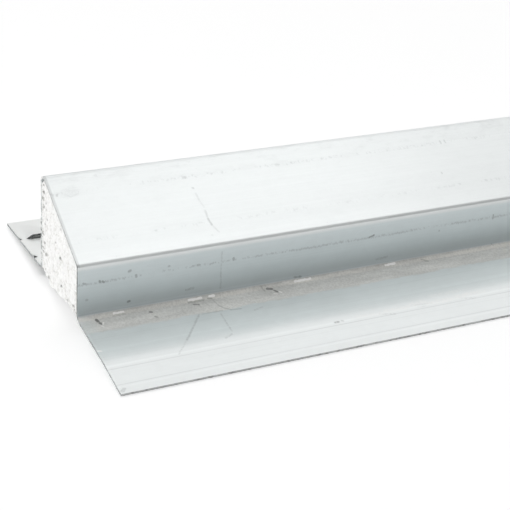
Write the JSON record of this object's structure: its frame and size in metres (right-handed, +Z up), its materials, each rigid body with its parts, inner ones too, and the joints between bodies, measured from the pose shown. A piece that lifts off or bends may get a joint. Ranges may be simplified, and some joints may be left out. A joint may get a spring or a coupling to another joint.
{
  "type": "steel lintel",
  "caption": "Folded galvanised steel lintel with a sloping body, two flanges and a foam core, for carrying masonry over an opening in a cavity wall.",
  "frame": {"origin": "middle of the bounding box in X and Y, at the level of the surface that the lintel lies on", "axes": "+X along the lintel, +Y from the front flange towards the rear flange, +Z up"},
  "size_m": [1.2, 0.2936, 0.0973],
  "materials": {
    "galvanised_steel": "hot-dip galvanised, matt, with cement dust, scuffs and scratches",
    "white_foam": "bare expanded bead foam with a cut face"
  },
  "bodies": {
    "root": {"steel_profile": "galvanised_steel", "insulation_core": "white_foam"}
  },
  "joints": []
}
